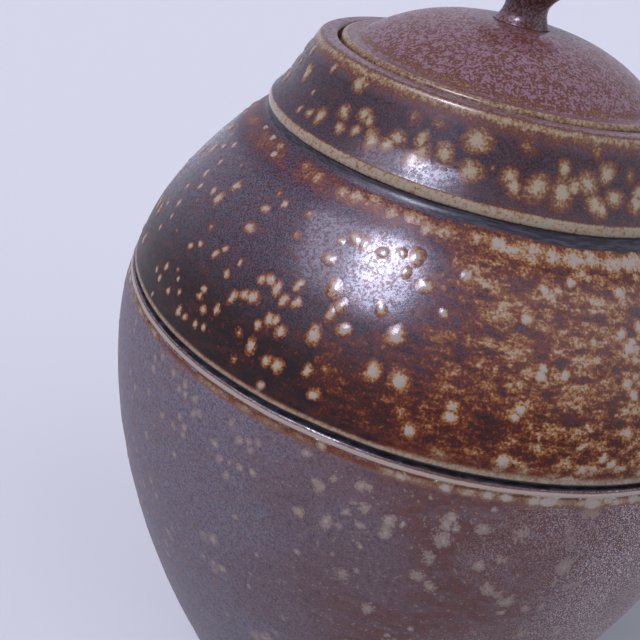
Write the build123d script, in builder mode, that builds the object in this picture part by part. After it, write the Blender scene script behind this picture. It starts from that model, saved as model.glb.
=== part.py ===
"""Onggi jar: a wheel-thrown stoneware jar with a drop-in lid.

Millimetres. +Z is up along the axis of the wheel, and the origin is the centre of the foot's underside.
Every piece is a body of revolution, so each outline is drawn as radius across and height up.
"""

from build123d import *
from math import sqrt
import os

os.makedirs("parts", exist_ok=True)

# Jar: foot, belly and shoulder
foot_radius = 57.0
foot_edge_round = 1.6
foot_ring_width = 9.0
foot_recess_depth = 2.5
floor_thickness = 8.5
floor_corner_round = 14.0
wall = 6.5
belly_radius = 100.3
belly_height = 123.0
shoulder_radius = 68.0
shoulder_rise = 69.2

# How fast the wall draws in below and above the belly: powers of the way from it
lower_power_share = 1.75
upper_power_share = 2.2
outline_step_shares = (0.2, 0.4, 0.6, 0.8, 1.0)

# Jar: line cut round above the belly
belly_line_rise = 19.8
belly_line_width = 1.1
belly_line_depth = 1.5
belly_line_lip_round = 1.2

# Jar: raised ring at the foot of the neck, and the cove under it
neck_step_in = 1.6
neck_step_up = 1.3
ring_round = 2.2
ring_blend = 1.4
cove_round = 1.5

# Jar: rim, and the ledge inside it that carries the lid
neck_rise = 24.0
rim_width = 5.1
rim_outer_round = 2.0
rim_inner_round = 1.0
ledge_depth = 3.7
ledge_width = 4.8
ledge_thickness = 4.5

# Lid
lid_radius = 49.3
lid_clearance = 1.0
lid_flange_thickness = 4.6
lid_flange_width = 5.0
lid_flange_round = 1.4
lid_seat_width = 7.8
lid_seat_round = 0.8
lid_wall = 5.5
lid_rise = 12.6
lid_crown_margin = 1.2

# Knob
knob_base_radius = 8.4
knob_waist_radius = 6.2
knob_head_radius = 14.2
knob_waist_height = 5.0
knob_head_height = 11.0
knob_head_thickness = 6.5
knob_edge_round = 1.0

# Jar: heights up the outside
shoulder_height = belly_height + shoulder_rise
belly_line_height = belly_height + belly_line_rise
neck_base_radius = shoulder_radius - neck_step_in
neck_base_height = shoulder_height + neck_step_up
rim_height = neck_base_height + neck_rise


def wall_outside(height):
    """Outside radius of the jar's wall at a height from the foot to the shoulder."""
    if height < belly_height:
        away = (belly_height - height) / belly_height
        return belly_radius - (belly_radius - foot_radius) * away**lower_power_share
    away = (height - belly_height) / (shoulder_height - belly_height)
    return belly_radius - (belly_radius - shoulder_radius) * away**upper_power_share


def wall_inside(height):
    """Inside radius at the same height, so that the wall is as thick where it slopes."""
    slope = (wall_outside(height + wall / 2) - wall_outside(height - wall / 2)) / wall
    return wall_outside(height) - wall * sqrt(1 + slope**2)


def steps(low, high):
    """Heights that the wall's curve runs through, from just above low up to high."""
    return [low + (high - low) * share for share in outline_step_shares]


# Jar: the cut line and its lower lip
line_radius = wall_outside(belly_line_height)
line_foot = belly_line_height - belly_line_width / 2
line_top = belly_line_height + belly_line_width / 2
lip_foot = line_foot - belly_line_lip_round
lip_reach = wall_outside(lip_foot)
lip_radius = lip_reach - belly_line_lip_round

# Jar: the ledge that fits the lid, and the mouth inside it
ledge_height = rim_height - ledge_depth
seat_radius = lid_radius + lid_clearance
rim_radius = seat_radius + rim_width
mouth_radius = seat_radius - ledge_width
ledge_foot_height = ledge_height - ledge_thickness
ledge_root_height = ledge_foot_height - ledge_width

# Jar: the neck, a straight cone from its base to the rim, and the ring that lies on it
neck_slant = sqrt((neck_base_radius - rim_radius) ** 2 + neck_rise**2)
neck_in = (neck_base_radius - rim_radius) / neck_slant
neck_up = neck_rise / neck_slant
ring_along = cove_round + ring_round
ring_radius = neck_base_radius - ring_along * neck_in
ring_height = neck_base_height + ring_along * neck_up

# Jar: the inside, which follows the outside
recess_radius = foot_radius - foot_ring_width
floor_height = foot_recess_depth + floor_thickness
inside_top_height = shoulder_height - wall
neck_inside_lean = (ledge_root_height - neck_base_height) * neck_in / neck_up
neck_inside_radius = neck_base_radius - wall / neck_up - neck_inside_lean

# Lid and knob: heights up from the ledge
flange_top = ledge_height + lid_flange_thickness
crown_height = flange_top + lid_rise
crown_radius = knob_base_radius + lid_crown_margin
dome_radius = lid_radius - lid_flange_width
hollow_radius = lid_radius - lid_seat_width
hollow_height = crown_height - lid_wall
waist_height = crown_height + knob_waist_height
head_height = crown_height + knob_head_height
tip_height = head_height + knob_head_thickness

with BuildPart() as jar_body:
    with BuildSketch(Plane.XZ) as jar_section:
        # Outside: foot, belly, shoulder and neck as one turned form
        lower_points = [(foot_radius, 0)] + [(wall_outside(z), z) for z in steps(0, belly_height)]
        upper_points = [(wall_outside(z), z) for z in [belly_height] + steps(belly_height, shoulder_height)]
        foot_lean = (foot_radius - wall_outside(-wall), wall)
        shoulder_lean = (wall_outside(shoulder_height + wall) - shoulder_radius, wall)
        with BuildLine():
            Spline(*lower_points, tangents=[foot_lean, (0, 1)])
            Spline(*upper_points, tangents=[(0, 1), shoulder_lean])
            Polyline(
                (shoulder_radius, shoulder_height),
                (neck_base_radius, neck_base_height),
                (rim_radius, rim_height),
                (0, rim_height),
                (0, 0),
                (foot_radius, 0),
            )
        make_face()

        # Raised ring on the neck, blended into it above, and the cove under it
        with Locations((ring_radius, ring_height)):
            Circle(ring_round)
        ring_joins = jar_section.vertices().filter_by_position(Axis.Y, ring_height, ring_height + ring_along)
        fillet(ring_joins.sort_by(Axis.Y)[-1], radius=ring_blend)
        with Locations((neck_base_radius, neck_base_height)):
            Circle(cove_round, mode=Mode.SUBTRACT)

        # Line cut round above the belly: a square-bottomed groove whose lower lip is rounded over
        with BuildLine():
            CenterArc((lip_radius, lip_foot), belly_line_lip_round, 0, 90)
            Polyline(
                (lip_radius, line_foot),
                (line_radius - belly_line_depth, line_foot),
                (line_radius - belly_line_depth, line_top),
                (line_radius + belly_line_depth, line_top),
                (line_radius + belly_line_depth, lip_foot),
                (lip_reach, lip_foot),
            )
        make_face(mode=Mode.SUBTRACT)

        # Inside: floor, wall, and neck with the ledge that carries the lid
        inside_heights = steps(floor_height, belly_height) + steps(belly_height, inside_top_height)
        with BuildLine():
            Spline(*[(wall_inside(z), z) for z in [floor_height] + inside_heights])
            Polyline(
                (wall_inside(inside_top_height), inside_top_height),
                (neck_inside_radius, ledge_root_height),
                (mouth_radius, ledge_foot_height),
                (mouth_radius, ledge_height),
                (seat_radius, ledge_height),
                (seat_radius, rim_height),
                (0, rim_height),
                (0, floor_height),
                (wall_inside(floor_height), floor_height),
            )
        make_face(mode=Mode.SUBTRACT)
        floor_corners = jar_section.vertices().filter_by_position(Axis.Y, foot_recess_depth, floor_height)
        fillet(floor_corners.sort_by(Axis.X)[-1], radius=floor_corner_round)

        # Underside: a shallow recess inside the foot ring
        Rectangle(recess_radius, foot_recess_depth, align=(Align.MIN, Align.MIN), mode=Mode.SUBTRACT)

        # Rounded rim and foot
        rim_corners = jar_section.vertices().group_by(Axis.Y)[-1].sort_by(Axis.X)
        fillet(rim_corners[-1], radius=rim_outer_round)
        rim_corners = jar_section.vertices().group_by(Axis.Y)[-1].sort_by(Axis.X)
        fillet(rim_corners[0], radius=rim_inner_round)
        fillet(jar_section.vertices().group_by(Axis.Y)[0], radius=foot_edge_round)
    revolve(axis=Axis.Z)

jar_body.part.label = "jar_body"
export_step(jar_body.part, "parts/jar_body.step")

with BuildPart() as lid:
    # Flange, dome and the flat on its crown that carries the knob, over a hollow inside the seat
    with BuildSketch(Plane.XZ) as lid_section:
        with BuildLine():
            TangentArc((0, hollow_height), (hollow_radius, ledge_height), tangent=(1, 0))
            Polyline(
                (hollow_radius, ledge_height),
                (lid_radius, ledge_height),
                (lid_radius, flange_top),
                (dome_radius, flange_top),
            )
            TangentArc((crown_radius, crown_height), (dome_radius, flange_top), tangent=(1, 0))
            Polyline((crown_radius, crown_height), (0, crown_height), (0, hollow_height))
        make_face()
        flange_corners = lid_section.vertices().group_by(Axis.X)[-1].sort_by(Axis.Y)
        fillet(flange_corners[-1], radius=lid_flange_round)
        fillet(lid_section.vertices().group_by(Axis.Y)[0], radius=lid_seat_round)
    revolve(axis=Axis.Z)

lid.part.label = "lid"
export_step(lid.part, "parts/lid.step")

with BuildPart() as lid_knob:
    # Waisted button on the lid's crown
    with BuildSketch(Plane.XZ) as knob_section:
        with BuildLine():
            Spline(
                (knob_base_radius, crown_height),
                (knob_waist_radius, waist_height),
                (knob_head_radius, head_height),
                tangents=[(-1, 1), (1, 0)],
            )
            Spline((knob_head_radius, head_height), (0, tip_height), tangents=[(0, 1), (-1, 0)])
            Polyline((0, tip_height), (0, crown_height), (knob_base_radius, crown_height))
        make_face()
        fillet(knob_section.vertices().group_by(Axis.X)[-1], radius=knob_edge_round)
    revolve(axis=Axis.Z)

lid_knob.part.label = "lid_knob"
export_step(lid_knob.part, "parts/lid_knob.step")
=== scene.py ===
import math
import random
from bisect import bisect_right

import bmesh
import bpy
from mathutils import Matrix, Vector, noise


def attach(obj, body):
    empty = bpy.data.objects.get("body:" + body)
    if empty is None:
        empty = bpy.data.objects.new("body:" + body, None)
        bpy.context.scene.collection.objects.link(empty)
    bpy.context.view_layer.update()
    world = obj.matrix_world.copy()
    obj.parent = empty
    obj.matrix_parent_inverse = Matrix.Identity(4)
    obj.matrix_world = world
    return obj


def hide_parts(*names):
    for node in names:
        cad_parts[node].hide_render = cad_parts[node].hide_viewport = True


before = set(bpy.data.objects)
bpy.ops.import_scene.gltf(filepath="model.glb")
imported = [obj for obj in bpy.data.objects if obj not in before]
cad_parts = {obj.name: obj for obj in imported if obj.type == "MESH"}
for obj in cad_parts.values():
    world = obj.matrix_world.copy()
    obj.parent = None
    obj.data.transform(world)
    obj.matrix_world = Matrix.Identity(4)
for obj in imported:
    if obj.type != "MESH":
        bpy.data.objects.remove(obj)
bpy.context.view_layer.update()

# Lengths are in millimetres unless a name says metres. Blender works in metres.
MM = 0.001

# Jar outline, the sizes of the thrown jar
FOOT_RADIUS = 57.0
FOOT_RING_WIDTH = 9.0
FOOT_RECESS = 2.5
FOOT_EDGE_ROUND = 1.6
FLOOR_THICKNESS = 8.5
FLOOR_CORNER_ROUND = 14.0
WALL = 6.5
BELLY_RADIUS = 100.3
BELLY_HEIGHT = 123.0
SHOULDER_RADIUS = 68.0
SHOULDER_HEIGHT = 192.2
LOWER_POWER = 1.75
UPPER_POWER = 2.2

# Line cut round above the belly, and its rounded lower lip
LINE_HEIGHT = 142.15
LINE_WIDTH = 1.6
LINE_DEPTH = 1.7
LIP_DROP = 1.4
LIP_IN = 0.85
LIP_ARRIS = 0.15
LIP_FOOT = LINE_HEIGHT - LINE_WIDTH / 2 - LIP_DROP

# Neck, its raised ring and the cove under it
COVE_START_HEIGHT = 190.9
COVE_LEAD = (-1.3, 1.0)
COVE_MIDDLE = (66.1, 193.2)
COVE_ROUND = 1.5
NECK_BASE = (66.4, 193.5)
RIM_RADIUS = 55.4
RIM_HEIGHT = 217.5
RIM_OUTER_ROUND = 2.0
RIM_INNER_ROUND = 1.0
RING_HEIGHT = 196.9
RING_ALONG = 2.7
RING_OUT = 1.45
RING_SLOPE = 7.5
RING_EASE = 2.6

# Ledge inside the rim
SEAT_RADIUS = 50.3
MOUTH_RADIUS = 45.5
LEDGE_HEIGHT = 213.8
LEDGE_FOOT_HEIGHT = 209.3
LEDGE_ROOT = (54.2, 204.5)

# Lid and knob
LID_RADIUS = 49.3
FLANGE_TOP = 218.4
FLANGE_ROUND = 1.4
SEAT_ROUND = 0.8
DOME_RADIUS = 44.3
HOLLOW_RADIUS = 41.5
HOLLOW_HEIGHT = 225.5
CROWN_RADIUS = 9.6
CROWN_HEIGHT = 231.0
KNOB_BASE_RADIUS = 8.4
KNOB_WAIST = (6.2, 236.0)
KNOB_HEAD = (14.2, 242.0)
KNOB_TIP_HEIGHT = 248.5

# The glazed skin lies this far inside the belly, so that the raised ash stays within the jar's own size
SKIN = 0.35

# Drops of ash: a dome on the inner share of a wider film, whose edge dips into the wall, and deeper where
# the neck is hollow. Each is rooted in the clay, so that it is a closed form.
DROP_RISE = 0.45
DROP_REACH = 2.6
DOME_SHARE = 0.56
FILM_RISE = 0.04
EDGE_SINK = 0.04
HOLLOW_SINK = 0.18
HOLLOW_WALL = (192.0, 209.0)
ROOT_DEPTH = 1.5

# Rings of a drop as shares of its reach, and points in each ring: near the camera, and elsewhere
FINE_DROP = ((0.12, 0.24, 0.38, 0.54, 0.76, 1.0), 14)
PLAIN_DROP = ((0.26, 0.54, 1.0), 8)

# Steps round the wheel and along the outline
JAR_TURNS = 188
LID_TURNS = 160
KNOB_TURNS = 72
WALL_STEP = 2.2
EDGE_STEP = 0.35
EDGE_RUN = 15 * EDGE_STEP
LINING_STEP = 3.4
CORNER_STEP = 0.3

# Marks of the thrower's hand: depth in millimetres, changes round, millimetres between changes up, and seed
WHEEL_MARKS = (0.11, 0.6, 5.5, 3.1)
LINING_MARKS = (0.45, 0.6, 5.5, 3.1)
OUT_OF_ROUND = (0.10, 2.2, 30.0, 9.4)
LINE_WANDER = (0.35, 2.5, 1.0, 5.2)
LINE_SHAKE = (0.12, 11.0, 1.0, 7.7)
RING_SWELL = (0.16, 6.0, 1.0, 12.3)
RING_WANDER = (0.12, 3.0, 1.0, 15.8)

# Patches in the ash and in the edge of the pooled glaze, in the same order
LIP_PATCHES = (0.2, 9.0, 1.0, 27.1)
FRINGE_PATCHES = (0.4, 22.0, 1.0, 33.4)
BAND_PATCHES = (1.0, 12.0, 3.0, 38.6)
COVE_PATCHES = (0.5, 4.0, 1.0, 21.7)

# Camera, fitted to the visible edge, the cut line, the ring and the rim
PHOTO_SIZE = 640
PHOTO_MIDDLE = PHOTO_SIZE / 2
FOCAL_PIXELS = 1000.0
SENSOR = 36.0
CAMERA_AT = (0.0, -299.0, 273.3)
CAMERA_YAW = -0.1205
CAMERA_PITCH = 0.4652
CAMERA_ROLL = 0.2366

# Rows of pixels that the photograph fills
PHOTO_TOP = 107
PHOTO_BOTTOM = 533

# Nearest and farthest that the jar can be from the camera, and the step to find it
SIGHT_NEAR = 120.0
SIGHT_FAR = 420.0
SIGHT_STEP = 0.5

# Soft studio light, slightly violet: tints of the lamps
KEY_TINT = (0.88, 0.87, 1.0)
GLOW_TINT = (0.88, 0.78, 1.0)
SKY_TINT = (0.4, 0.46, 1.0)

# Lamps: the pixel where each one's reflection shows, strength, width in degrees, tint, and whether it lights
# more than the gloss. The first two make the highlight's bright middle and blue edge.
LAMPS = {
    "core_lamp": ((381, 262), 0.42, 8, KEY_TINT, False),
    "sky_lamp": ((384, 272), 0.9, 24, SKY_TINT, False),
    "key_lamp": ((384, 272), 1.55, 21, KEY_TINT, True),
    "glow_lamp": ((356, 234), 1.2, 34, GLOW_TINT, True),
    "side_lamp": ((600, 310), 0.45, 70, KEY_TINT, True),
}
ROOM_LIGHT = (0.27, 0.27, 0.315, 1)
BACKDROP = "#cbcbe0"
FLOOR_REACH = 6000.0

# Finishes, in the order of each piece's materials
FINISHES = ["ash glaze", "lining", "clay"]

# Raised drops of ash glaze, read from the photograph: pixel across, pixel down, radius in pixels
SHOULDER_DROPS = [
    (235, 145, 3), (224, 146, 3), (220, 162, 3), (206, 173, 3.5), (200, 186, 3), (187, 186, 2.5),
    (236, 186, 4.5), (213, 191, 4), (218, 198, 5), (178, 203, 3), (167, 203, 2.5), (265, 209, 4.5),
    (284, 204, 3.5), (249, 228, 5), (171, 216, 2.5), (160, 227, 2.5), (190, 246, 3), (200, 244, 3),
    (215, 254, 3.5), (225, 249, 3), (240, 263, 2.5), (226, 274, 3.5), (156, 269, 2.5), (166, 267, 3),
    (159, 278, 3), (178, 279, 2), (168, 291, 3), (179, 292, 2.5), (151, 294, 2), (204, 289, 3.5),
    (199, 296, 3.5), (233, 297, 4.5), (245, 295, 4.5), (253, 297, 6), (262, 279, 4), (270, 280, 4.5),
    (277, 289, 5), (283, 301, 5), (178, 311, 3.5), (203, 310, 3.5), (216, 310, 3.5), (184, 317, 3),
    (269, 320, 5), (275, 321, 4), (269, 126, 3.5), (274, 137, 3), (274, 154, 3), (356, 239, 6),
    (365, 243, 5), (383, 253, 5), (403, 253, 4), (416, 257, 7), (406, 272, 5), (329, 259, 5),
    (341, 241, 3), (298, 286, 4), (334, 289, 6.5), (426, 286, 6), (340, 307, 5), (331, 314, 5),
    (381, 309, 5), (344, 330, 6), (314, 335, 7), (296, 303, 4.5), (280, 332, 5), (396, 337, 8),
    (373, 371, 7), (399, 381, 8), (277, 366, 5.5), (307, 371, 4.5), (314, 395, 5), (195, 324, 3),
    (203, 327, 3), (258, 325, 4), (251, 346, 5), (267, 361, 5), (260, 386, 3.5), (452, 406, 6),
    (450, 417, 6.5), (409, 431, 6.5), (520, 411, 6), (515, 418, 5), (503, 462, 7), (627, 434, 6),
    (604, 458, 5), (612, 465, 5.5), (467, 275, 5), (527, 319, 6), (544, 290, 6), (571, 283, 5),
    (618, 292, 6), (621, 334, 6), (628, 349, 6.5), (638, 327, 5), (444, 313, 4), (541, 377, 6),
    (544, 369, 5), (565, 376, 5.5), (627, 384, 6), (634, 396, 5),
]
SHOULDER_STAINS = [
    (232, 134, 3), (196, 200, 2), (176, 230, 2), (211, 227, 4), (178, 269, 2), (281, 146, 4),
    (241, 165, 3), (280, 193, 3.5), (296, 235, 4), (310, 214, 4), (324, 369, 3), (341, 381, 3),
    (233, 359, 3.5), (239, 333, 4), (444, 387, 6), (586, 333, 6), (609, 313, 6), (443, 287, 4),
    (496, 368, 7), (524, 374, 6),
]
BAND_DROPS = [
    (308, 165, 4), (319, 177, 4.5), (342, 193, 5.5), (356, 197, 7), (376, 196, 5), (393, 211, 5),
    (413, 216, 6.5), (421, 217, 6), (429, 226, 6), (446, 229, 7), (477, 237, 6), (499, 243, 6.5),
    (513, 250, 6), (534, 246, 6.5), (553, 256, 6), (573, 256, 6.5), (591, 257, 6.5), (613, 263, 8),
    (631, 254, 6), (626, 264, 6),
]
NECK_DROPS = [
    (310, 113, 4), (321, 116, 6), (300, 109, 3.5), (345, 112, 6), (340, 128, 5), (356, 130, 5),
    (365, 114, 6), (369, 121, 5), (372, 138, 7), (398, 138, 7), (388, 144, 5.5), (422, 140, 6),
    (412, 158, 7), (421, 153, 7), (445, 154, 8.5), (478, 140, 11), (471, 171, 9), (510, 176, 7),
    (514, 187, 7), (537, 187, 10), (561, 193, 10), (573, 187, 7), (587, 184, 9), (606, 173, 8.5),
    (564, 168, 6), (594, 204, 8.5), (601, 208, 6), (614, 198, 8.5), (636, 203, 8.5), (638, 193, 7),
]
NECK_STAINS = [
    (414, 117, 6), (441, 123, 6), (493, 168, 3), (527, 146, 8), (597, 153, 5), (630, 176, 6),
]
BELLY_STAINS = [
    (153, 369, 3), (185, 395, 2.5), (194, 399, 3), (193, 414, 3), (179, 417, 2.5), (231, 423, 3),
    (214, 444, 3.5), (238, 441, 3.5), (219, 459, 3.5), (174, 454, 2.5), (239, 468, 3), (252, 473, 3),
    (226, 475, 3), (318, 487, 5), (361, 486, 4.5), (322, 446, 4.5), (306, 454, 3.5), (326, 522, 5),
    (298, 512, 5), (346, 512, 3), (365, 508, 4), (389, 521, 5), (360, 526, 3.5), (452, 518, 5.5),
    (446, 525, 5), (483, 530, 5), (446, 488, 5), (488, 496, 5), (506, 498, 4), (532, 503, 5),
    (549, 503, 5), (595, 506, 9),
]

# Each kind of drop, how pale its ash is, and its share of the full rise
DROP_KINDS = [
    (SHOULDER_DROPS, 1.0, 0.75),
    (SHOULDER_STAINS, 0.55, 0.05),
    (BAND_DROPS, 0.42, 0.15),
    (NECK_DROPS, 0.9, 0.15),
    (NECK_STAINS, 0.5, 0.05),
    (BELLY_STAINS, 0.58, 0.1),
]

# Heights between which a drop stays, so that none crosses the cut line or the cove
FIELDS = [(0, 139.8), (142.95, 192.1), (198.6, 216.5)]

# Drops tried at random, and the heights that they keep to and keep off
SCATTERED = 900
SCATTER_HEIGHTS = (60, 214)
LINE_MARGIN = (140, 145)
RING_MARGIN = (191, 200)


# Outlines, drawn as radius across and height up


def wall_outside(height):
    """Outside radius of the jar's wall at a height from the foot to the shoulder."""
    if height < BELLY_HEIGHT:
        away = (BELLY_HEIGHT - height) / BELLY_HEIGHT
        return BELLY_RADIUS - (BELLY_RADIUS - FOOT_RADIUS) * away**LOWER_POWER
    away = (height - BELLY_HEIGHT) / (SHOULDER_HEIGHT - BELLY_HEIGHT)
    return BELLY_RADIUS - (BELLY_RADIUS - SHOULDER_RADIUS) * away**UPPER_POWER


def wall_slope(height):
    """How far the wall goes out for each millimetre that it goes up."""
    return (wall_outside(height + WALL / 2) - wall_outside(height - WALL / 2)) / WALL


def wall_inside(height):
    """Inside radius at the same height."""
    return wall_outside(height) - WALL * math.sqrt(1 + wall_slope(height) ** 2)


def smooth(low, high, value):
    """Rises smoothly from 0 at low to 1 at high."""
    share = min(1.0, max(0.0, (value - low) / (high - low)))
    return share * share * (3 - 2 * share)


def spread(low, high, step):
    """Even heights from low to high."""
    count = max(1, round((high - low) / step))
    return [low + (high - low) * i / count for i in range(count + 1)]


def straight(start, end, step):
    """Points from start to end, with one close to each end to keep the corner crisp."""
    length = math.dist(start, end)
    count = max(1, round(length / step))
    ways = [i / count for i in range(count + 1)]
    if length > 4 * CORNER_STEP:
        ways += [CORNER_STEP / length, 1 - CORNER_STEP / length]
    return [tuple(a + (b - a) * way for a, b in zip(start, end)) for way in sorted(set(ways))]


def arc(centre, radius, first, last, step):
    """Points on an arc, from one angle to another in degrees."""
    count = max(2, round(abs(math.radians(last - first)) * radius / step))
    angles = [math.radians(first + (last - first) * i / count) for i in range(count + 1)]
    return [(centre[0] + radius * math.cos(a), centre[1] + radius * math.sin(a)) for a in angles]


def bow(start, start_handle, end_handle, end, count):
    """Points on a curve pulled towards two handles."""
    corners = (start, start_handle, end_handle, end)
    points = []
    for i in range(count + 1):
        way = i / count
        shares = ((1 - way) ** 3, 3 * way * (1 - way) ** 2, 3 * way**2 * (1 - way), way**3)
        points.append(tuple(sum(s * c[k] for s, c in zip(shares, corners)) for k in (0, 1)))
    return points


def finished(points, finish):
    """The same points, each with the finish that lies on it."""
    return [(radius, height, finish) for radius, height in points]


def foot_edge():
    """The rounded edge of the foot, up to where the wall takes over."""
    lean = math.degrees(math.atan(wall_slope(0)))
    reach = FOOT_EDGE_ROUND * math.tan(math.radians(90 - lean) / 2)
    return arc((FOOT_RADIUS - reach, FOOT_EDGE_ROUND), FOOT_EDGE_ROUND, -90, -lean, EDGE_STEP)


def cut_line():
    """The cut line, from the foot of its rounded lower lip up through the round-bottomed groove."""
    line_foot = LINE_HEIGHT - LINE_WIDTH / 2
    lip_reach = wall_outside(LIP_FOOT)
    lip_top = (lip_reach - LIP_IN, line_foot)
    handles = ((lip_reach - 0.1, LIP_FOOT + 0.5), (lip_top[0] + 0.5, line_foot - 0.2))
    lip = bow((lip_reach, LIP_FOOT), *handles, lip_top, 9)
    bottom = (wall_outside(LINE_HEIGHT) - LINE_DEPTH + LINE_WIDTH / 2, LINE_HEIGHT)
    return lip[1:] + arc(bottom, LINE_WIDTH / 2, 270, 90, EDGE_STEP / 2)


def jar_outside():
    """From the foot's edge up to the top of the rim."""
    points = foot_edge()
    heights = spread(points[-1][1] + EDGE_STEP, LIP_FOOT - EDGE_RUN, WALL_STEP)
    heights += spread(LIP_FOOT - EDGE_RUN + EDGE_STEP, LIP_FOOT, EDGE_STEP)
    points += [(wall_outside(z), z) for z in heights]
    points += cut_line()
    line_top = LINE_HEIGHT + LINE_WIDTH / 2
    heights = spread(line_top, line_top + EDGE_RUN / 2, EDGE_STEP)
    heights += spread(line_top + EDGE_RUN / 2 + WALL_STEP, COVE_START_HEIGHT - EDGE_RUN, WALL_STEP)
    heights += spread(COVE_START_HEIGHT - EDGE_RUN + 2 * EDGE_STEP, COVE_START_HEIGHT, 2 * EDGE_STEP)
    points += [(wall_outside(z), z) for z in heights]
    return points + neck_outside()


def neck_outside():
    """The cove, the ring, the straight neck and the rounded rim."""
    base_radius, base_height = NECK_BASE
    slant = math.dist(NECK_BASE, (RIM_RADIUS, RIM_HEIGHT))
    neck_in = (base_radius - RIM_RADIUS) / slant
    neck_up = (RIM_HEIGHT - base_height) / slant
    lean = math.degrees(math.atan2(neck_in, neck_up))

    def on_neck(along, out):
        return (base_radius - along * neck_in + out * neck_up, base_height + along * neck_up + out * neck_in)

    cove_start = (wall_outside(COVE_START_HEIGHT), COVE_START_HEIGHT)
    cove_lead = (cove_start[0] + COVE_LEAD[0], cove_start[1] + COVE_LEAD[1])
    points = bow(cove_start, cove_lead, COVE_MIDDLE, on_neck(COVE_ROUND, 0), 16)[1:]

    # The ring is half round below and runs out in a long slope above
    ring_middle = COVE_ROUND + RING_ALONG
    ring = [(math.sin(math.radians(a)), math.cos(math.radians(a))) for a in range(-90, 12, 6)]
    ring = [on_neck(ring_middle + RING_ALONG * rise, RING_OUT * out) for rise, out in ring]
    points += ring[1:]
    lead = tuple(2 * b - a for a, b in zip(ring[-2], ring[-1]))
    ring_end = ring_middle + RING_SLOPE
    points += bow(ring[-1], lead, on_neck(ring_end - RING_EASE, 0), on_neck(ring_end, 0), 16)[1:]

    rim_reach = RIM_OUTER_ROUND * math.tan(math.radians(90 - lean) / 2)
    points += straight(points[-1], on_neck(slant - rim_reach, 0), WALL_STEP)[1:]
    rim_centre = (RIM_RADIUS - rim_reach, RIM_HEIGHT - RIM_OUTER_ROUND)
    return points + arc(rim_centre, RIM_OUTER_ROUND, lean, 90, EDGE_STEP)[1:]


def jar_inside():
    """From the mouth's ledge down the inside to the middle of the floor."""
    corner_height = FOOT_RECESS + FLOOR_THICKNESS + FLOOR_CORNER_ROUND
    joins = corner_height
    for _ in range(12):
        joins = corner_height - FLOOR_CORNER_ROUND * math.sin(math.atan(wall_slope(joins)))
    lean = math.degrees(math.atan(wall_slope(joins)))
    corner_radius = wall_inside(joins) - FLOOR_CORNER_ROUND * math.cos(math.radians(lean))
    top = SHOULDER_HEIGHT - WALL
    points = straight((MOUTH_RADIUS, LEDGE_FOOT_HEIGHT), LEDGE_ROOT, LINING_STEP)
    points += straight(LEDGE_ROOT, (wall_inside(top), top), LINING_STEP)[1:]
    points += [(wall_inside(z), z) for z in reversed(spread(joins, top, LINING_STEP))][1:]
    points += arc((corner_radius, corner_height), FLOOR_CORNER_ROUND, -lean, -90, LINING_STEP)[1:]
    return points + straight(points[-1], (0, FOOT_RECESS + FLOOR_THICKNESS), LINING_STEP)[1:]


def jar_outline():
    """The whole section of the jar, from under its foot round to its floor inside."""
    recess_radius = FOOT_RADIUS - FOOT_RING_WIDTH
    foot_inner = (recess_radius + FOOT_EDGE_ROUND, FOOT_EDGE_ROUND)
    outside = jar_outside()
    under = straight((0, FOOT_RECESS), (recess_radius, FOOT_RECESS), LINING_STEP)
    under += arc(foot_inner, FOOT_EDGE_ROUND, 180, 270, EDGE_STEP)
    under += straight(under[-1], outside[0], WALL_STEP)[1:-1]
    rim_inner = (SEAT_RADIUS + RIM_INNER_ROUND, RIM_HEIGHT - RIM_INNER_ROUND)
    rim = arc(rim_inner, RIM_INNER_ROUND, 90, 180, EDGE_STEP)
    seat = straight(rim[-1], (SEAT_RADIUS, LEDGE_HEIGHT), EDGE_STEP)[1:]
    seat += straight(seat[-1], (MOUTH_RADIUS, LEDGE_HEIGHT), WALL_STEP)[1:]
    mouth = straight((MOUTH_RADIUS, LEDGE_HEIGHT), (MOUTH_RADIUS, LEDGE_FOOT_HEIGHT), WALL_STEP)[1:]
    outline = finished(under, "clay") + finished(outside, "ash glaze") + finished(rim, "ash glaze")
    return outline + finished(seat, "clay") + finished(mouth + jar_inside()[1:], "lining")


def lid_under():
    """The lid's hollow, from its middle out, and the seat that rests on the ledge."""
    rise = HOLLOW_HEIGHT - LEDGE_HEIGHT
    hollow_round = (HOLLOW_RADIUS**2 + rise**2) / (2 * rise)
    hollow_end = math.degrees(math.acos(HOLLOW_RADIUS / hollow_round))
    hollow = arc((0, HOLLOW_HEIGHT - hollow_round), hollow_round, 90, hollow_end + 1, LINING_STEP)
    seat = [(HOLLOW_RADIUS + SEAT_ROUND, LEDGE_HEIGHT)]
    seat += straight(seat[0], (LID_RADIUS - SEAT_ROUND, LEDGE_HEIGHT), WALL_STEP)[1:]
    corner = (LID_RADIUS - SEAT_ROUND, LEDGE_HEIGHT + SEAT_ROUND)
    seat += arc(corner, SEAT_ROUND, 270, 360, EDGE_STEP)[1:]
    return hollow, seat


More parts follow.
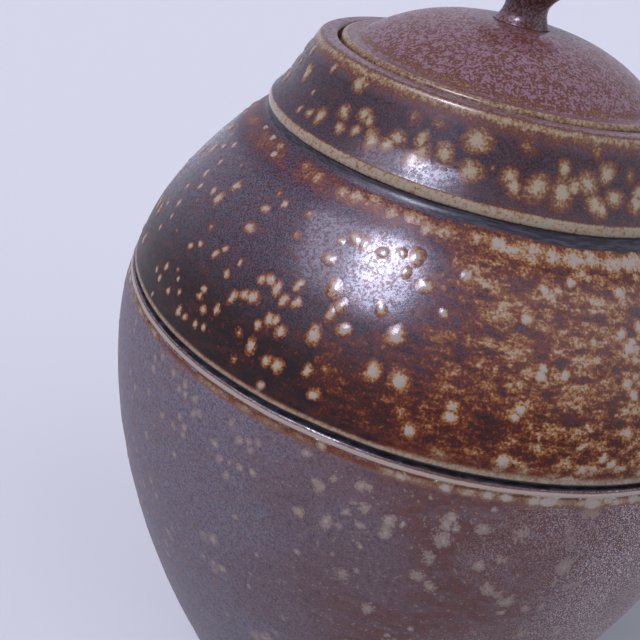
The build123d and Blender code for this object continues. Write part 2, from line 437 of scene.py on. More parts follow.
def lid_outline():
    """The section of the lid, from the middle of its hollow round to the middle of its crown."""
    hollow, seat = lid_under()
    corner = (LID_RADIUS - FLANGE_ROUND, FLANGE_TOP - FLANGE_ROUND)
    edge = straight(seat[-1], (LID_RADIUS, corner[1]), EDGE_STEP)[1:]
    edge += arc(corner, FLANGE_ROUND, 0, 90, EDGE_STEP)[1:]
    rise = CROWN_HEIGHT - FLANGE_TOP
    reach = DOME_RADIUS - CROWN_RADIUS
    dome_round = (reach**2 + rise**2) / (2 * rise)
    dome_start = math.degrees(math.acos(reach / dome_round))
    top = straight(edge[-1], (DOME_RADIUS, FLANGE_TOP), EDGE_STEP)[1:]
    top += arc((CROWN_RADIUS, CROWN_HEIGHT - dome_round), dome_round, dome_start, 90, EDGE_STEP * 3)[1:]
    top += straight(top[-1], (0, CROWN_HEIGHT), WALL_STEP)[1:]
    return finished(hollow, "lining") + finished(seat, "clay") + finished(edge + top, "ash glaze")


def knob_outline():
    """The section of the knob, from the crown under it round to its tip."""
    def off_waist(out, up):
        return (KNOB_WAIST[0] + out, KNOB_WAIST[1] + up)

    def off_head(out, up):
        return (KNOB_HEAD[0] + out, KNOB_HEAD[1] + up)

    base = (KNOB_BASE_RADIUS, CROWN_HEIGHT)
    tip = (0, KNOB_TIP_HEIGHT - SKIN)
    points = straight((0, CROWN_HEIGHT), base, WALL_STEP)
    points += bow(base, (base[0] - 1.5, base[1] + 1.5), off_waist(0, -1.8), KNOB_WAIST, 10)[1:]
    points += bow(KNOB_WAIST, off_waist(0, 2.2), off_head(-4.2, 0), off_head(-0.9, 0.05), 12)[1:]
    points += bow(points[-1], off_head(-0.2, 0.1), off_head(0, 0.5), off_head(-0.05, 1.1), 6)[1:]
    points += bow(points[-1], off_head(-0.2, 3.6), (6.5, tip[1]), tip, 18)[1:]
    return finished(points, "ash glaze")


# The hand of the thrower: how far each point lies off the true outline


def from_axis(radius, height, turn):
    """A point at an angle round the axis, from the front towards the right hand."""
    return Vector((radius * math.sin(turn), -radius * math.cos(turn), height))


def waver(turn, height, depth, changes, rise, seed):
    """Smooth noise that meets itself round the axis."""
    round_axis = (changes * math.sin(turn), changes * math.cos(turn) + seed)
    return depth * noise.noise(Vector((*round_axis, height / rise)))


def skin_depth(height):
    """How far the glazed skin lies inside the true outline; the arris of the cut line's lip stands out."""
    belly = smooth(2, 18, height) * (1 - smooth(178, 188, height))
    arris = smooth(LIP_FOOT - 0.5, LIP_FOOT, height) * (1 - smooth(LIP_FOOT, LIP_FOOT + 1.2, height))
    return SKIN * belly - LIP_ARRIS * arris


def thrown(radius, height, finish, turn):
    """Where the wet clay stood after throwing, turning and cutting."""
    if finish == "lining":
        return radius + waver(turn, height, *LINING_MARKS) * smooth(0, 20, radius), height
    if finish == "clay" or radius < 1:
        return radius, height
    line_near = 1 - smooth(3.0, 9.0, abs(height - LINE_HEIGHT))
    ring_near = 1 - smooth(2.5, 4.5, abs(height - RING_HEIGHT))
    body = smooth(2, 10, height) * (1 - smooth(186, 192, height))
    out = waver(turn, height, *WHEEL_MARKS) * body - skin_depth(height)
    out += waver(turn, height, *OUT_OF_ROUND) * body
    out += waver(turn, 0, *RING_SWELL) * ring_near
    up = (waver(turn, 0, *LINE_WANDER) + waver(turn, 0, *LINE_SHAKE)) * line_near
    up += waver(turn, 0, *RING_WANDER) * ring_near
    return radius + out, height + up


# Where the ash gathers, and where the glaze pools with painted shade on the cut line's lower lip, from 0 to
# 1


def peak_at(height, middle, below, above):
    """1 at a height, falling smoothly to 0 below and above it."""
    if height < middle:
        return 1 - smooth(0, below, middle - height)
    return 1 - smooth(0, above, height - middle)


def lip_ash(height, turn, fire_side):
    """Ash on both lips of the cut line, and the fringe that ran from the lower one."""
    over = height - LINE_HEIGHT
    upper = 0.56 * (1 - smooth(1.5, 2.6 + 1.4 * fire_side, over)) * smooth(0.6, 0.95, over)
    up_lip = height - LIP_FOOT
    lower = smooth(-0.45, 0.05, up_lip) * (1 - smooth(0.5, 1.2, up_lip))
    lower *= 0.8 + waver(turn, 0, *LIP_PATCHES)
    if up_lip >= 0.1:
        return max(upper, lower)
    fringe = smooth(-3.4, -1.9, up_lip) * (1 - 0.45 * smooth(-1.1, -0.7, up_lip))
    fringe *= 0.36 + 0.14 * fire_side + waver(turn, 0, *FRINGE_PATCHES)
    return max(upper, lower, fringe)


def band_ash(height, turn, fire_side):
    """Ash in the band under the ring, patchy and thickest on the side that faced the fire."""
    patches = waver(turn, height, *BAND_PATCHES)
    share = 0.27 * (1 + 0.9 * patches) + fire_side * (0.25 + 0.2 * patches)
    return share * peak_at(height, 190.5, 4.8, 2.8)


def ash_on(height, radius, finish, turn):
    """Ash that the edges, the band, the ring and the rim of the jar carry."""
    if finish != "ash glaze":
        return 0.0
    fire_side = smooth(-0.7, 0.5, turn) * (1 - smooth(2.0, 3.0, turn))
    ring = 0.64 * smooth(194.9, 195.4, height) * (1 - smooth(197.7, 198.5, height))
    rim = 0.56 * peak_at(height, 216.6, 3.8, 1.2)
    return max(lip_ash(height, turn, fire_side), band_ash(height, turn, fire_side), ring, rim)


def lid_ash_on(height, radius, finish, turn):
    """Ash on the lid's edge and crown."""
    if finish != "ash glaze":
        return 0.0
    edge = 0.5 * smooth(46.8, 48.2, radius)
    foot = 0.35 * peak_at(radius, 43.6, 2.2, 0.8)
    return max(edge, foot, 0.16)


def knob_ash_on(height, radius, finish, turn):
    """Ash on the knob's rounded edge."""
    edge = 0.6 * peak_at(height, 242.6, 1.0, 1.6) * smooth(11.0, 13.5, radius)
    return max(edge, 0.16)


def pooled_and_shade_on(height, radius, turn):
    """Glaze pooled black in the cut line and the cove, running down the upper slope of the cut line's lower
    lip as painted shade.
    """
    over = height - LINE_HEIGHT
    # Pooled glaze in the groove, running down the lower lip's upper slope as a soft gradient of painted
    # shade
    line_pool_and_lip_shade = smooth(-1.5, -0.7, over) * (1 - smooth(0.85, 1.05, over))
    deep = smooth(0.1, 0.5, wall_outside(height) - radius) if line_pool_and_lip_shade else 0.0
    edge = 192.6 - 0.95 * math.sin(turn) + waver(turn, 0, *COVE_PATCHES)
    cove = smooth(edge - 0.5, edge + 0.6, height) * (1 - smooth(194.9, 195.3, height))
    return max(line_pool_and_lip_shade * deep, cove)


# Mesh work


def join_rows(bm, rows):
    """Faces between neighbouring rows of points, row by row; a row of one point closes the form."""
    joined = []
    for low, high in zip(rows, rows[1:]):
        count = max(len(low), len(high))
        faces = []
        for step in range(count):
            after = (step + 1) % count
            if len(low) == 1:
                corners = (low[0], high[after], high[step])
            elif len(high) == 1:
                corners = (low[step], low[after], high[0])
            else:
                corners = (low[step], low[after], high[after], high[step])
            faces.append(bm.faces.new(corners))
        joined.append(faces)
    return joined


def lathe(outline, turns, ash_of):
    """An outline turned round the axis, with the ash of every point, and its pooled glaze and painted lip
    shade.
    """
    bm = bmesh.new()
    ash = bm.verts.layers.float.new("ash")
    pooled_and_shade = bm.verts.layers.float.new("pooled_and_shade")
    rows = []
    for radius, height, finish in outline:
        row = []
        for step in range(turns if radius > 0.001 else 1):
            turn = 2 * math.pi * step / turns
            vert = bm.verts.new(from_axis(*thrown(radius, height, finish, turn), turn) * MM)
            vert[ash] = ash_of(height, radius, finish, turn)
            vert[pooled_and_shade] = pooled_and_shade_on(height, radius, turn) if finish == "ash glaze" else 0.0
            row.append(vert)
        rows.append(row)
    for faces, (_, _, finish) in zip(join_rows(bm, rows), outline):
        for face in faces:
            face.smooth = True
            face.material_index = FINISHES.index(finish)
    return bm


def outside_profile(outline):
    """Height and radius of the glazed outside, rising all the way, for setting drops of ash on it."""
    profile = []
    for radius, height, finish in outline:
        rises = not profile or height > profile[-1][0] + 0.01
        if finish == "ash glaze" and rises:
            profile.append((height, radius))
    return profile


def radius_at(profile, height):
    """Radius of a profile at a height."""
    above = bisect_right(profile, (height, math.inf))
    if above == 0:
        return profile[0][1]
    if above == len(profile):
        return profile[-1][1]
    low, low_radius = profile[above - 1]
    high, high_radius = profile[above]
    way = (height - low) / (high - low)
    return low_radius + way * (high_radius - low_radius)


def drop_rise(ring, rise):
    """How far a drop stands out at a share of its reach: a dome, then a thin film round it."""
    dome = (1 - min(1, ring / DOME_SHARE) ** 2) ** 1.5
    return rise * dome + FILM_RISE * (1 - smooth(DOME_SHARE, 1, ring)) - EDGE_SINK


def drop_rows(turn, height, core, peak, rise, steps):
    """Rows of points in a drop, from its top to its root: across, up, out from the wall, and ash."""
    rings, segments = steps
    reach = core * DROP_REACH
    tall = random.uniform(0.95, 1.2)
    twist = random.uniform(0, math.pi)
    in_hollow = HOLLOW_WALL[0] < height < HOLLOW_WALL[1]
    rows = [[(0, 0, drop_rise(0, rise), peak)]]
    for ring in rings:
        out = drop_rise(ring, rise)
        if in_hollow and ring == rings[-1]:
            out -= HOLLOW_SINK
        row = []
        for step in range(segments):
            angle = 2 * math.pi * step / segments + twist
            wobble = 1 + 0.12 * math.sin(2 * angle + turn * 40) + 0.05 * math.sin(3 * angle + height)
            far = reach * ring * wobble
            row.append((far * math.sin(angle), -far * tall * math.cos(angle), out, peak * (1 - ring) ** 1.7))
        rows.append(row)
    return rows + [[(0, 0, -ROOT_DEPTH, 0)]]


def ash_drop(bm, profile, turn, height, core, peak, rise, steps):
    """A drop of ash glaze that meets the wall all round."""
    lowest, highest = [field for field in FIELDS if field[0] <= height][-1]
    ash = bm.verts.layers.float["ash"]
    pooled_and_shade = bm.verts.layers.float["pooled_and_shade"]
    slope = radius_at(profile, height + 0.5) - radius_at(profile, height - 0.5)
    up_share = 1 / math.sqrt(1 + slope**2)
    here = radius_at(profile, height)

    def set_point(across, up, out, value):
        z = min(highest, max(lowest, height + up * up_share))
        angle = turn + across / here
        hand_radius, hand_height = thrown(radius_at(profile, z), z, "ash glaze", angle)
        place = from_axis(hand_radius + out * up_share, hand_height - out * slope * up_share, angle)
        vert = bm.verts.new(place * MM)
        vert[ash] = value + ash_on(z, here, "ash glaze", angle) * (1 - 0.6 * value)
        vert[pooled_and_shade] = pooled_and_shade_on(z, here, angle) * (1 - min(1, 1.5 * value))
        return vert

    rows = drop_rows(turn, height, core, peak, rise, steps)
    joined = join_rows(bm, [[set_point(*point) for point in row] for row in rows])
    for face in [face for faces in joined[:-1] for face in faces]:
        face.smooth = True


def camera_axes():
    """The camera's right, up and forward directions."""
    forward = Vector((
        math.sin(CAMERA_YAW) * math.cos(CAMERA_PITCH),
        math.cos(CAMERA_YAW) * math.cos(CAMERA_PITCH),
        -math.sin(CAMERA_PITCH),
    ))
    level_right = Vector((math.cos(CAMERA_YAW), -math.sin(CAMERA_YAW), 0))
    level_up = level_right.cross(forward)
    right = level_right * math.cos(CAMERA_ROLL) + level_up * math.sin(CAMERA_ROLL)
    up = level_up * math.cos(CAMERA_ROLL) - level_right * math.sin(CAMERA_ROLL)
    return right, up, forward


def sight_line(across, down):
    """The way that the camera looks through a pixel of the photograph."""
    right, up, forward = camera_axes()
    off_right = (across - PHOTO_MIDDLE) / FOCAL_PIXELS
    off_down = (down - PHOTO_MIDDLE) / FOCAL_PIXELS
    return (forward + right * off_right - up * off_down).normalized()


def seen_at(profile, across, down):
    """Where a pixel's sight line meets the outside: turn, height and distance, or None if it misses."""
    way = sight_line(across, down)
    travel = SIGHT_NEAR
    while travel < SIGHT_FAR:
        point = Vector(CAMERA_AT) + way * travel
        if 0 < point.z < RIM_HEIGHT and math.hypot(point.x, point.y) <= radius_at(profile, point.z):
            return math.atan2(point.x, -point.y), point.z, travel
        travel += SIGHT_STEP
    return None


def mirrored(profile, across, down):
    """The way to a lamp whose reflection shows at a pixel."""
    turn, height, _ = seen_at(profile, across, down)
    slope = radius_at(profile, height + 1) - radius_at(profile, height - 1)
    outward = from_axis(1, -slope / 2, turn).normalized()
    way = sight_line(across, down)
    return way - 2 * way.dot(outward) * outward


def in_photo(profile, turn, height):
    """Whether a place on the outside shows in the rows that the photograph fills."""
    offset = from_axis(radius_at(profile, height), height, turn) - Vector(CAMERA_AT)
    right, up, forward = camera_axes()
    depth = offset.dot(forward)
    across = PHOTO_MIDDLE + FOCAL_PIXELS * offset.dot(right) / depth
    down = PHOTO_MIDDLE - FOCAL_PIXELS * offset.dot(up) / depth
    faces_camera = from_axis(1, 0, turn).dot(offset) < -20
    return faces_camera and 0 < across < PHOTO_SIZE and PHOTO_TOP < down < PHOTO_BOTTOM


def set_read_drops(bm, profile):
    """Sets the drops and stains that the photograph shows."""
    for drops, peak, rise_share in DROP_KINDS:
        for across, down, pixels in drops:
            found = seen_at(profile, across, down)
            if found:
                turn, height, travel = found
                core = pixels * travel / FOCAL_PIXELS
                rise = min(DROP_RISE, 0.22 * core) * rise_share
                ash_drop(bm, profile, turn, height, core, peak, rise, FINE_DROP)


def scatter_drops(bm, profile):
    """Scatters drops over the sides that the photograph doesn't show, and faint ones below the line."""
    for _ in range(SCATTERED):
        turn = random.uniform(-math.pi, math.pi)
        height = random.uniform(*SCATTER_HEIGHTS)
        if LINE_MARGIN[0] < height < LINE_MARGIN[1] or RING_MARGIN[0] < height < RING_MARGIN[1]:
            continue
        on_shoulder = height > LINE_MARGIN[1]
        seen = in_photo(profile, turn, height)
        if seen and on_shoulder:
            continue
        small = seen or random.random() < 0.5
        core = random.uniform(0.6, 1.0) if small else random.uniform(0.9, 1.8)
        peak = random.uniform(0.7, 1.0) if on_shoulder else random.uniform(0.3, 0.58)
        rise = min(DROP_RISE, 0.25 * core) * (1.0 if on_shoulder else 0.4)
        ash_drop(bm, profile, turn, height, core, peak, rise, PLAIN_DROP)


def placed(name, data):
    """A new object in the scene."""
    thing = bpy.data.objects.new(name, data)
    bpy.context.scene.collection.objects.link(thing)
    return thing


def mesh_object(name, bm, materials):
    """An object made of a finished mesh."""
    mesh = bpy.data.meshes.new(name)
    bm.to_mesh(mesh)
    bm.free()
    for material in materials:
        mesh.materials.append(material)
    return placed(name, mesh)


def mesh_piece(name, bm, materials, body, node):
    """A piece that rides on a body of the jar and stands for one of its solids."""
    piece = mesh_object(name, bm, materials)
    piece.shadow_terminator_geometry_offset = 0.2
    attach(piece, body)
    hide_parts(node)


# Materials

# Nodes used most, and settings that many of them share
RAMP = "ShaderNodeMapRange"
MATHS = "ShaderNodeMath"
VECTOR = "ShaderNodeVectorMath"
BLEND = "ShaderNodeMix"
SURFACE = "ShaderNodeBsdfPrincipled"
SOFTLY = {"interpolation_type": "SMOOTHSTEP"}
OF_COLOURS = {"data_type": "RGBA"}
OF_NUMBERS = {"data_type": "FLOAT"}

# Patterns of each finish: size in millimetres, detail, roughness, and how many times wider than high.
# Crystals in a wood-fired glaze are about 0.1 mm and sand in the clay about 0.3 mm, too fine to show, so
# grain, speckle and sand are drawn coarser.
GLAZE_PATTERNS = {
    "grain": (0.42, 2, 0.6, 1),
    "speckle": (0.7, 2, 0.6, 1),
    "flecks": (1.4, 4, 0.65, 1),
    "mottle": (5.5, 6, 0.62, 2.4),
    "clouds": (26, 2, 0.5, 1),
    "streaks": (4, 3, 0.6, 9),
}
LINING_PATTERNS = {"streaks": (9, 4, 0.6, 2.5), "grain": (0.9, 2, 0.5, 1)}
CLAY_PATTERNS = {"sand": (0.7, 3, 0.6, 1), "toast": (14, 3, 0.5, 1)}

# How the glaze changes with height in millimetres or across a pattern: with what, where it starts and
# ends, and the share or roughness before and after
GLAZE_CHANGES = {
    "from_lip": ("height", 135.5, 138.5, 0, 1),
    "satin": ("height", 138.8, 139.6, 0.5, 0.4),
    "coat_on_slate": ("height", 138.8, 139.6, 0.8, 1),
    "above_line": ("height", 141.3, 142.7, 0, 1),
    "below_line": ("height", 141.3, 142.7, 1, 0),
    "under_lip_top": ("height", 145, 148, 1, 0),
    "coat": ("height", 154, 176, 0.3, 1),
    "high_up": ("height", 156, 178, 0, 1),
    "crystals_high_up": ("height", 156, 178, 0.04, 1),
    "on_neck": ("height", 190, 200, 0, 1),
    "maroon": ("height", 190, 200, 0, 0.6),
    "warm_on_neck": ("height", 190, 200, 1, 0.2),
    "crystals_on_neck": ("height", 190, 200, 1, 0.34),
    "coat_on_neck": ("height", 190, 200, 1, 0.65),
    # Pale pink on the lid: partly ash fall, partly painted sheen
    "lid_ash_and_sheen": ("height", 212, 219, 0, 0.7),
    "dark_grain": ("speckle", 0.42, 0.64, 0, 0.75),
    "frost_grain": ("grain", 0.5, 0.6, 0, 1),
    "crystals": ("grain", 0.42, 0.62, 0, 0.72),
    "amber_mottles": ("mottle", 0.35, 0.65, 0.05, 0.61),
    # Lighter grey streaks in the pools: painted sheen
    "painted_pool_sheen": ("streaks", 0.45, 0.62, 0, 1),
    "streaky_coat": ("streaks", 0.44, 0.56, 0.25, 1),
    "coat_roughness": ("flecks", 0.4, 0.6, 0.13, 0.25),
}

# The way to the fire in the kiln, and the middle of the dry band under the ring
FIRE_FROM = (0.82, -0.57, 0)
BAND_MIDDLE = 189.5

# How much each pattern frays the edges of the ash
FRAYING = {"flecks": 0.75, "speckle": 0.6, "mottle": 0.3}

# Ash from thin to thick: where it starts and is full, how many crystals lie under it, its colour below the
# lips of the cut line, and its colours elsewhere
CRYSTAL = "#605062"
ASH_COLOURS = [
    (0.08, 0.24, 1.0, "#7f6f68", {"from_lip": "#5a220b", "on_neck": "#52250f"}),
    (0.22, 0.6, 0.0, "#8d8075", {"from_lip": "#976f38", "on_lips": "#7d6b50", "on_neck": "#84633a"}),
    (0.44, 0.74, 0.5, "#979086", {"on_lips": "#978c82", "on_neck": "#968b74"}),
]


def colour(code):
    """A linear colour from an sRGB hex code."""
    channels = [int(code[i:i + 2], 16) / 255 for i in (1, 3, 5)]
    linear = [c / 12.92 if c <= 0.04045 else ((c + 0.055) / 1.055) ** 2.4 for c in channels]
    return (*linear, 1.0)


def add(tree, kind, inputs, out=None, **settings):
    """Adds a node, sets and links its inputs, and returns one of its outputs."""
    node = tree.nodes.new(kind)
    for name, value in settings.items():
        setattr(node, name, value)
    for key, value in inputs.items():
        named = [s for s in node.inputs if s.enabled and s.name == key]
        socket = named[0] if named else node.inputs[key]
        if isinstance(value, bpy.types.NodeSocket):
            tree.links.new(value, socket)
        else:
            socket.default_value = value
    usable = [s for s in node.outputs if s.enabled]
    if not usable:
        return None
    return node.outputs[out] if out else usable[0]


def new_material(name):
    """An empty material and its nodes."""
    material = bpy.data.materials.new(name)
    material.use_nodes = True
    material.node_tree.nodes.clear()
    return material, material.node_tree


def patterned(tree, patterns):
    """The point on the piece in millimetres, and each pattern there."""
    metres = add(tree, "ShaderNodeTexCoord", {}, out="Object")
    place = add(tree, VECTOR, {0: metres, 1: (1 / MM, 1 / MM, 1 / MM)}, operation="MULTIPLY")
    found = {}
    for name, (size, detail, roughness, width) in patterns.items():
        flat = add(tree, VECTOR, {0: place, 1: (1, 1, width)}, operation="MULTIPLY")
        inputs = {"Vector": flat, "Scale": 1 / size, "Detail": detail, "Roughness": roughness}
        found[name] = add(tree, "ShaderNodeTexNoise", inputs)
    return place, found


def layered(tree, base, layers):
    """Colours laid over a base in turn, each by its share."""
    for share, code in layers:
        base = add(tree, BLEND, {"Factor": share, "A": base, "B": colour(code)}, **OF_COLOURS)
    return base


def fire_facing(tree, place, clouds):
    """How far a point faces the fire, with strong and with weak clouds in it."""
    level = add(tree, VECTOR, {0: place, 1: (1, 1, 0)}, operation="MULTIPLY")
    facing = add(tree, VECTOR, {0: level}, operation="NORMALIZE")
    facing = add(tree, VECTOR, {0: facing, 1: FIRE_FROM}, operation="DOT_PRODUCT", out="Value")
    cloudy = add(tree, MATHS, {0: clouds, 1: 0.7, 2: facing}, operation="MULTIPLY_ADD")
    even = add(tree, MATHS, {0: clouds, 1: 0.3, 2: facing}, operation="MULTIPLY_ADD")
    return cloudy, even


def glaze_values(tree):
    """What the glaze depends on at a point: patterns, height, their changes and the fire."""
    place, at = patterned(tree, GLAZE_PATTERNS)
    at["height"] = add(tree, "ShaderNodeSeparateXYZ", {0: place}, out="Z")
    for name, (source, start, end, before, after) in GLAZE_CHANGES.items():
        limits = {"From Min": start, "From Max": end, "To Min": before, "To Max": after}
        at[name] = add(tree, RAMP, {"Value": at[source], **limits})
    at["on_lips"] = add(tree, MATHS, {0: at["from_lip"], 1: at["under_lip_top"]}, operation="MULTIPLY")
    at["on_lower_lip"] = add(tree, MATHS, {0: at["on_lips"], 1: at["below_line"]}, operation="MULTIPLY")
    cloudy, even = fire_facing(tree, place, at["clouds"])
    warm = add(tree, RAMP, {"Value": cloudy, "From Min": 0.6, "From Max": 1.2}, **SOFTLY)
    at["warm"] = add(tree, MATHS, {0: warm, 1: at["warm_on_neck"]}, operation="MULTIPLY")
    at["warm_slate"] = add(tree, RAMP, {"Value": cloudy, "From Min": 0.6, "From Max": 1.05})
    at["frosted"] = add(tree, RAMP, {"Value": even, "From Min": 0.92, "From Max": 1.16})
    return at


def shoulder_glaze(tree, at):
    """Above the cut line: blue-black pools in rust brown, going maroon on the neck, and pale pink on the lid
    from ash fall and a painted sheen.
    """
    pools = add(tree, MATHS, {0: at["warm"], 1: 0.35, 2: at["mottle"]}, operation="MULTIPLY_ADD")
    pools = add(tree, RAMP, {"Value": pools, "From Min": 0.46, "From Max": 0.7}, **SOFTLY)
    layers = [(at["high_up"], "#120c13"), (pools, "#33120a")]
    # The lid's pale pink is partly ash and partly a painted sheen
    layers += [(at["maroon"], "#27100f"), (at["lid_ash_and_sheen"], "#94727a")]
    return layered(tree, colour("#150806"), layers)


def slate_glaze(tree, at):
    """Below the cut line: slate grey going warm, with dark grain, and frosted where the fire was hottest."""
    limits = {"From Min": 0.46, "From Max": 0.66, "To Max": 0.7}
    brown = add(tree, RAMP, {"Value": at["mottle"], **limits}, **SOFTLY)
    frost = add(tree, MATHS, {0: at["frosted"], 1: at["frost_grain"]}, operation="MULTIPLY")
    layers = [(at["warm_slate"], "#643f36"), (brown, "#6a555b")]
    layers += [(at["dark_grain"], "#3a3440"), (frost, "#c0b6b8")]
    return layered(tree, colour("#6e6771"), layers)


def ash_amount(tree, at):
    """Ash on drops and edges, and amber mottles on the fire side, all with frayed edges."""
    warmest = add(tree, MATHS, {0: at["warm"], 1: 1.3}, operation="POWER")
    mottles = at["amber_mottles"]
    for share in (at["above_line"], warmest):
        mottles = add(tree, MATHS, {0: mottles, 1: share}, operation="MULTIPLY")
    ash = add(tree, "ShaderNodeAttribute", {}, out="Fac", attribute_name="ash")
    ash = add(tree, MATHS, {0: ash, 1: mottles}, operation="MAXIMUM")
    frayed = -0.5 * sum(FRAYING.values())
    for pattern, share in FRAYING.items():
        frayed = add(tree, MATHS, {0: at[pattern], 1: share, 2: frayed}, operation="MULTIPLY_ADD")
    off_lips = add(tree, RAMP, {"Value": at["on_lips"], "To Min": 1.0, "To Max": 0.45})
    return add(tree, MATHS, {0: frayed, 1: off_lips, 2: ash}, operation="MULTIPLY_ADD")


def with_ash(tree, at, glaze):
    """The glaze with its violet crystals and its ash, and how thick the palest ash is."""
    off_fire = add(tree, RAMP, {"Value": at["warm"], "To Min": 1.0, "To Max": 0.35})
    crystals = at["crystals"]
    for share in (at["above_line"], off_fire, at["crystals_on_neck"], at["crystals_high_up"]):
        crystals = add(tree, MATHS, {0: crystals, 1: share}, operation="MULTIPLY")
    ash = ash_amount(tree, at)
    for start, full, crystals_under, code, elsewhere in ASH_COLOURS:
        under = add(tree, MATHS, {0: crystals, 1: crystals_under}, operation="MULTIPLY")
        glaze = layered(tree, glaze, [(under, CRYSTAL)])
        tint = layered(tree, colour(code), [(at[zone], other) for zone, other in elsewhere.items()])
        thick = add(tree, RAMP, {"Value": ash, "From Min": start, "From Max": full}, **SOFTLY)
        glaze = add(tree, BLEND, {"Factor": thick, "A": glaze, "B": tint}, **OF_COLOURS)
    return glaze, thick


def with_pools_shade_and_sheen(tree, at, glaze):
    """The glaze with its near-black pools, painted shade where they reach the cut line's lower lip, lighter
    grey streaks of painted sheen in them, and how deep they are.
    """
    pooled_and_shade = add(tree, "ShaderNodeAttribute", {}, out="Fac", attribute_name="pooled_and_shade")
    pooled_and_shade = add(tree, MATHS, {0: at["flecks"], 1: 0.9, 2: pooled_and_shade}, operation="MULTIPLY_ADD")
    pooled_and_shade = add(tree, RAMP, {"Value": pooled_and_shade, "From Min": 0.8, "From Max": 1.05}, **SOFTLY)
    # Lighter grey streaks over the near-black: a painted sheen that stands for a reflection
    tint = layered(tree, colour("#1b1a1f"), [(at["painted_pool_sheen"], "#3a3943")])
    return add(tree, BLEND, {"Factor": pooled_and_shade, "A": glaze, "B": tint}, **OF_COLOURS), pooled_and_shade


def glassy_coat(tree, at, pooled_and_shade):
    """The glassy top of the glaze: broken by crystals, streaky on the lower lip, thin on band and neck."""
    clear = add(tree, MATHS, {0: at["flecks"], 1: 0.7, 2: at["speckle"]}, operation="MULTIPLY_ADD")
    limits = {"From Min": 0.97, "From Max": 0.8, "To Min": 0.42, "To Max": 1.0}
    clear = add(tree, RAMP, {"Value": clear, **limits})
    streaks = {"Factor": at["on_lower_lip"], "A": 1.0, "B": at["streaky_coat"]}
    streaks = add(tree, BLEND, streaks, **OF_NUMBERS)
    off_band = add(tree, MATHS, {0: at["height"], 1: BAND_MIDDLE}, operation="SUBTRACT")
    off_band = add(tree, MATHS, {0: off_band}, operation="ABSOLUTE")
    off_band = add(tree, RAMP, {"Value": off_band, "From Min": 2.5, "From Max": 5.5, "To Min": 0.3})
    coat = add(tree, MATHS, {0: at["coat"], 1: at["on_lower_lip"]}, operation="MAXIMUM")
    for share in (at["coat_on_slate"], clear, streaks, off_band, at["coat_on_neck"]):
        coat = add(tree, MATHS, {0: coat, 1: share}, operation="MULTIPLY")
    return add(tree, BLEND, {"Factor": pooled_and_shade, "A": coat, "B": 0.3}, **OF_NUMBERS)


def ash_glaze():
    """Iron-bearing stoneware glaze fired in a wood kiln: dark satin glaze with a fine crystal grain, amber
    mottles on the side that faced the fire, and pale glossy ash on edges and drops with rust round it."""
    material, tree = new_material("wood_fired_ash_glaze")
    at = glaze_values(tree)
    glaze = {"Factor": at["above_line"], "A": slate_glaze(tree, at), "B": shoulder_glaze(tree, at)}
    glaze = add(tree, BLEND, glaze, **OF_COLOURS)
    glaze, thick = with_ash(tree, at, glaze)
    glaze, pooled_and_shade = with_pools_shade_and_sheen(tree, at, glaze)

    # Satin, glossier on thick ash and duller where it pooled, with slight relief
    rough = add(tree, MATHS, {0: at["grain"], 1: 0.12, 2: at["satin"]}, operation="MULTIPLY_ADD")
    rough = add(tree, BLEND, {"Factor": thick, "A": rough, "B": 0.22}, **OF_NUMBERS)
    coat_rough = {"Factor": thick, "A": at["coat_roughness"], "B": 0.06}
    relief = add(tree, MATHS, {0: at["grain"], 1: 0.4, 2: at["flecks"]}, operation="MULTIPLY_ADD")
    relief = add(tree, MATHS, {0: at["mottle"], 1: 2.0, 2: relief}, operation="MULTIPLY_ADD")
    relief = add(tree, "ShaderNodeBump", {"Height": relief, "Distance": 0.015 * MM})
    finish = {
        "Base Color": glaze,
        "Roughness": add(tree, BLEND, {"Factor": pooled_and_shade, "A": rough, "B": 0.5}, **OF_NUMBERS),
        "Normal": relief,
        "IOR": 1.5,
        "Specular IOR Level": 0.15,
        "Coat Weight": glassy_coat(tree, at, pooled_and_shade),
        "Coat Roughness": add(tree, BLEND, coat_rough, **OF_NUMBERS),
        "Coat IOR": 1.52,
        "Coat Normal": relief,
    }
    add(tree, "ShaderNodeOutputMaterial", {"Surface": add(tree, SURFACE, finish)})
    return material


def lining_glaze():
    """Thin iron glaze swilled round the inside: dark brown and evenly glossy, with faint streaks."""
    material, tree = new_material("thin_iron_glaze_lining")
    _, at = patterned(tree, LINING_PATTERNS)
    tone = add(tree, RAMP, {"Value": at["streaks"], "From Min": 0.35, "From Max": 0.7})
    base = layered(tree, colour("#2e1c18"), [(tone, "#54331f")])
    rough = add(tree, RAMP, {"Value": at["grain"], "To Min": 0.24, "To Max": 0.36})
    relief = add(tree, "ShaderNodeBump", {"Height": at["grain"], "Distance": 0.03 * MM})
    finish = {"Base Color": base, "Roughness": rough, "Normal": relief, "IOR": 1.5}
    add(tree, "ShaderNodeOutputMaterial", {"Surface": add(tree, SURFACE, finish)})
    return material


def bare_clay():
    """Stoneware wiped clean of glaze before firing: matt, toasted brown, with sand grains."""
    material, tree = new_material("bare_stoneware_clay")
    _, at = patterned(tree, CLAY_PATTERNS)
    toast = add(tree, RAMP, {"Value": at["toast"], "From Min": 0.35, "From Max": 0.65})
    sand = add(tree, RAMP, {"Value": at["sand"], "From Min": 0.58, "From Max": 0.72})
    base = layered(tree, colour("#6e4a39"), [(toast, "#8d6650"), (sand, "#4b332a")])
    relief = add(tree, "ShaderNodeBump", {"Height": at["sand"], "Distance": 0.08 * MM})
    finish = {"Base Color": base, "Roughness": 0.85, "Normal": relief, "IOR": 1.5}
    add(tree, "ShaderNodeOutputMaterial", {"Surface": add(tree, SURFACE, finish)})
    return material


# Floor, light and camera


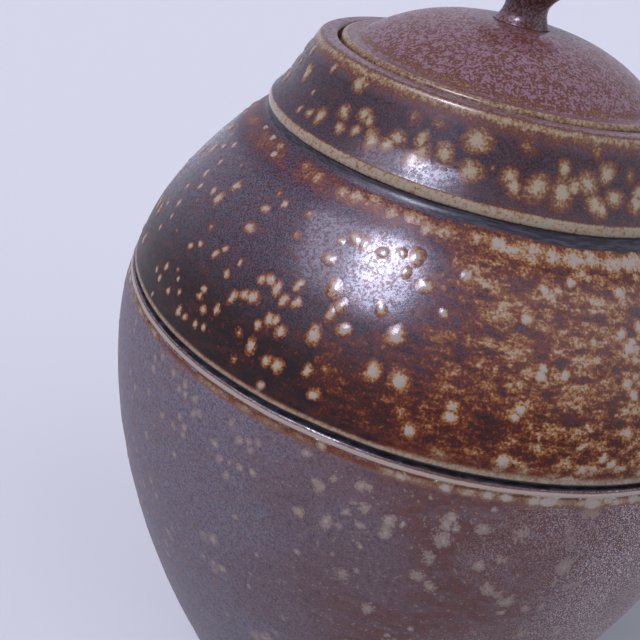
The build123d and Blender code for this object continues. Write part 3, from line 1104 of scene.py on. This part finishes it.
def paper_floor():
    """Pale matt paper under the jar, wide enough to reach the edge of every view."""
    bm = bmesh.new()
    bmesh.ops.create_circle(bm, cap_ends=True, radius=FLOOR_REACH * MM, segments=64)
    material, tree = new_material("pale_lavender_paper")
    finish = {"Base Color": colour("#d8dde0"), "Roughness": 0.9, "IOR": 1.4}
    add(tree, "ShaderNodeOutputMaterial", {"Surface": add(tree, SURFACE, finish)})
    mesh_object("paper_floor", bm, [material])


def sun(name, towards, strength, width, tint, lights_diffuse):
    """A far lamp in a direction, as wide as an angle in degrees."""
    lamp = bpy.data.lights.new(name, "SUN")
    lamp.energy = strength
    lamp.angle = math.radians(width)
    lamp.color = tint
    holder = placed(name, lamp)
    holder.visible_diffuse = lights_diffuse
    holder.rotation_mode = "QUATERNION"
    holder.rotation_quaternion = towards.to_track_quat("Z", "Y")


def pale_room():
    """Even light all round, and the pale backdrop that camera, gloss and glass see."""
    world = bpy.data.worlds.new("pale_room")
    world.use_nodes = True
    tree = world.node_tree
    tree.nodes.clear()
    rays = add(tree, "ShaderNodeLightPath", {}).node.outputs
    seen = rays["Is Camera Ray"]
    for kind in ("Is Glossy Ray", "Is Transmission Ray"):
        seen = add(tree, MATHS, {0: seen, 1: rays[kind]}, operation="MAXIMUM")
    room = layered(tree, ROOM_LIGHT, [(seen, BACKDROP)])
    glow = add(tree, "ShaderNodeBackground", {"Color": room})
    add(tree, "ShaderNodeOutputWorld", {"Surface": glow})
    bpy.context.scene.world = world


def photo_camera():
    """The camera at the photograph's viewing angle."""
    lens = bpy.data.cameras.new("camera")
    lens.sensor_width = SENSOR
    lens.lens = SENSOR * FOCAL_PIXELS / PHOTO_SIZE
    lens.clip_start = 0.01
    lens.clip_end = 20
    right, up, forward = camera_axes()
    turned = Matrix((right, up, -forward)).transposed().to_4x4()
    camera = placed("camera", lens)
    camera.matrix_world = Matrix.Translation(Vector(CAMERA_AT) * MM) @ turned
    bpy.context.scene.camera = camera


# The jar, its lid and knob, and the studio round them

coats = [ash_glaze(), lining_glaze(), bare_clay()]
random.seed(41)

jar_section = jar_outline()
jar_profile = outside_profile(jar_section)
jar_mesh = lathe(jar_section, JAR_TURNS, ash_on)
set_read_drops(jar_mesh, jar_profile)
scatter_drops(jar_mesh, jar_profile)
mesh_piece("glazed_jar", jar_mesh, coats, "jar", "jar_body")

lid_mesh = lathe(lid_outline(), LID_TURNS, lid_ash_on)
mesh_piece("glazed_lid", lid_mesh, coats, "lid", "lid")

knob_mesh = lathe(knob_outline(), KNOB_TURNS, knob_ash_on)
mesh_piece("glazed_knob", knob_mesh, coats, "lid", "lid_knob")

paper_floor()
for lamp_name, (pixel, strength, width, tint, lights_diffuse) in LAMPS.items():
    sun(lamp_name, mirrored(jar_profile, *pixel), strength, width, tint, lights_diffuse)
pale_room()
photo_camera()
bpy.context.scene.view_settings.view_transform = "Standard"
